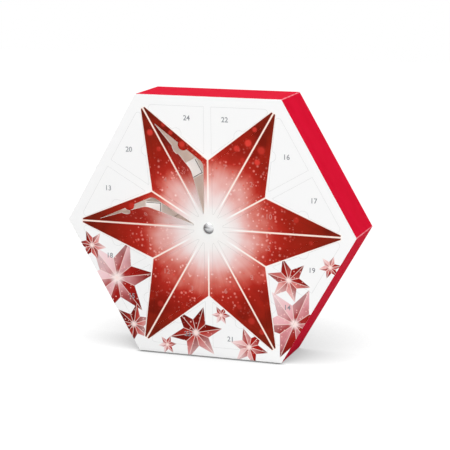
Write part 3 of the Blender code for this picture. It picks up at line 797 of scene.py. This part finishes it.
def light_table():
    """White acrylic lit from below: an even white with small neutral contact shadows."""
    material, tree, shader = new_material("opal_light_table", roughness=0.9, specular=0.0)
    shader.inputs["Base Color"].default_value = linear("#2C2C2C")
    here = add(tree, "TexCoord", out="Object")
    depth = add(tree, "SeparateXYZ", {0: here}, out="Y")

    # A wide shadow that leans away from the light, and in front a narrow one under the box
    leaning = add(tree, "CombineXYZ", {0: 0.12, 1: -0.5, 2: 0.86})
    clear = add(tree, "AmbientOcclusion", {"Distance": SHADOW_REACH, "Normal": leaning},
                out="AO", samples=SHADOW_SAMPLES)
    shade = add(tree, "ValToRGB", {0: clear},
                stops=((0.05, "#2C2C2C"), (0.33, "#B0B0B0"), (0.52, "#D2D2D2"),
                       (0.62, "#E0E0E0"), (0.74, "#EEEEEE"), (0.84, "#FFFFFF")))
    crevice = add(tree, "AmbientOcclusion", {"Distance": CONTACT_REACH}, out="AO",
                  samples=SHADOW_SAMPLES)
    contact = add(tree, "ValToRGB", {0: crevice}, stops=((0.50, "#5A5A5A"), (0.92, "#FFFFFF")))
    at_front = add(tree, "Math", {0: depth, 1: FRONT + CONTACT_SET_BACK},
                   operation="LESS_THAN")
    shaded = add(tree, "Mix", {0: at_front, 6: shade, 7: contact}, out=2, data_type="RGBA",
                 blend_type="MULTIPLY")
    tree.links.new(shaded, shader.inputs["Emission Color"])

    # It lights the box mostly from behind and the right, and mirrors brighter towards the front
    behind_right = add(tree, "VectorMath", {0: here, 1: (0.7, 0.7, 0)}, out="Value",
                       operation="DOT_PRODUCT")
    lighting = add(tree, "MapRange", {0: behind_right, 1: -0.1, 2: 0.35, 3: 0.36, 4: 1.20})
    front_right = add(tree, "VectorMath", {0: here, 1: (0.35, -1.0, 0)}, out="Value",
                      operation="DOT_PRODUCT")
    in_front = add(tree, "MapRange", {0: front_right, 1: 0.08, 2: 0.35, 3: 0.16, 4: 0.80})
    dimmed_behind = add(tree, "MapRange", {0: depth, 1: 0.0, 2: 0.08, 3: 1.0, 4: 0.25})
    mirrored = add(tree, "Math", {0: in_front, 1: dimmed_behind}, operation="MULTIPLY")
    path = add(tree, "LightPath").node.outputs
    unseen = add(tree, "Mix", {0: path["Is Glossy Ray"], 2: lighting, 3: mirrored})
    strength = add(tree, "Mix", {0: path["Is Camera Ray"], 2: unseen, 3: FLOOR_SEEN})
    tree.links.new(strength, shader.inputs["Emission Strength"])
    return material


def make_floor():
    """A wide plain floor, a little below the box so that the two never share a plane."""
    bm = bmesh.new()
    bmesh.ops.create_grid(bm, x_segments=1, y_segments=1, size=FLOOR_HALF)
    bmesh.ops.translate(bm, vec=(0, 0, -FLOOR_DROP), verts=bm.verts)
    floor = link_piece("floor", mesh_from(bm, "floor"), light_table())


# Soft boxes: name, place, point they aim at, size, watts, whether they cast shadows and whether
# glossy surfaces mirror them
SOFT_BOXES = (
    ("overhead_box", (0.2, -0.1, 1.8), (0, 0, 0.3), 1.2, 17, True, True),
    ("camera_box", (-0.70, -1.60, 0.10), (0, 0, 0.15), 1.1, 16.5, True, False),
    ("cell_fill", (0.74, -2.08, 0.55), (0, 0, 0.15), 1.1, 13.5, False, False),
)
DIFFUSE_BOUNCES = 12


def make_surround():
    """A white studio: a dim sky that lights, and a brighter right and back that are mirrored."""
    world = bpy.data.worlds.new("studio")
    world.use_nodes = True
    tree = world.node_tree
    towards = add(tree, "TexCoord", out="Generated")
    upper = add(tree, "VectorMath", {0: towards, 1: (0.08, 0.1, 0.97)}, out="Value",
                operation="DOT_PRODUCT")
    sky = add(tree, "MapRange", {0: upper, 1: -0.5, 2: 0.9, 3: 0.10, 4: 0.62})
    upper_right = add(tree, "VectorMath", {0: towards, 1: (0.55, 0.0, 0.83)}, out="Value",
                      operation="DOT_PRODUCT")
    towards_back = add(tree, "SeparateXYZ", {0: towards}, out="Y")
    behind = add(tree, "Math", {0: towards_back, 1: 0.0}, operation="MAXIMUM")
    bright_side = add(tree, "Math", {0: behind, 1: 0.5, 2: upper_right},
                      operation="MULTIPLY_ADD")
    mirrored = add(tree, "MapRange", {0: bright_side, 1: -0.35, 2: 0.5, 3: 0.12, 4: 1.05})
    path = add(tree, "LightPath").node.outputs
    unseen = add(tree, "Mix", {0: path["Is Glossy Ray"], 2: sky, 3: mirrored})
    strength = add(tree, "Mix", {0: path["Is Camera Ray"], 2: unseen, 3: 1.0})
    background = tree.nodes["Background"]
    background.inputs["Color"].default_value = (1, 1, 1, 1)
    tree.links.new(strength, background.inputs["Strength"])
    bpy.context.scene.world = world


def make_lights():
    """Soft boxes overhead and at the camera, and a fill without shadows that reaches the cells."""
    for name, place, aim, size, power, casts_shadow, mirrored in SOFT_BOXES:
        data = bpy.data.lights.new(name, "AREA")
        data.size = size
        data.energy = power
        data.use_shadow = casts_shadow
        lamp = bpy.data.objects.new(name, data)
        lamp.location = place
        lamp.visible_glossy = mirrored
        lamp.rotation_mode = "QUATERNION"
        lamp.rotation_quaternion = (Vector(aim) - Vector(place)).to_track_quat("-Z", "Y")
        bpy.context.scene.collection.objects.link(lamp)
    bpy.context.scene.view_settings.view_transform = "Standard"
    bpy.context.scene.cycles.diffuse_bounces = DIFFUSE_BOUNCES


def make_camera():
    """The photograph's camera, aimed at its target and rolled a little."""
    back = Vector((sin(CAMERA_AZIMUTH) * cos(CAMERA_ELEVATION),
                   -cos(CAMERA_AZIMUTH) * cos(CAMERA_ELEVATION), sin(CAMERA_ELEVATION)))
    right = Vector((0, 0, 1)).cross(back).normalized()
    up = back.cross(right)
    turned_right = right * cos(CAMERA_ROLL) + up * sin(CAMERA_ROLL)
    turned_up = back.cross(turned_right)
    data = bpy.data.cameras.new("camera")
    data.sensor_width = SENSOR_MM
    data.lens = FOCAL_PIXELS * SENSOR_MM / PHOTO_SIDE
    camera = bpy.data.objects.new("camera", data)
    pose = Matrix((turned_right, turned_up, back)).transposed().to_4x4()
    pose.translation = CAMERA_TARGET + back * CAMERA_DISTANCE
    camera.matrix_world = pose
    bpy.context.scene.collection.objects.link(camera)
    bpy.context.scene.camera = camera


make_camera()
make_floor()
make_surround()
make_lights()
dress_frame()
make_cut_lines()
make_gift_lids()
print_numbers()
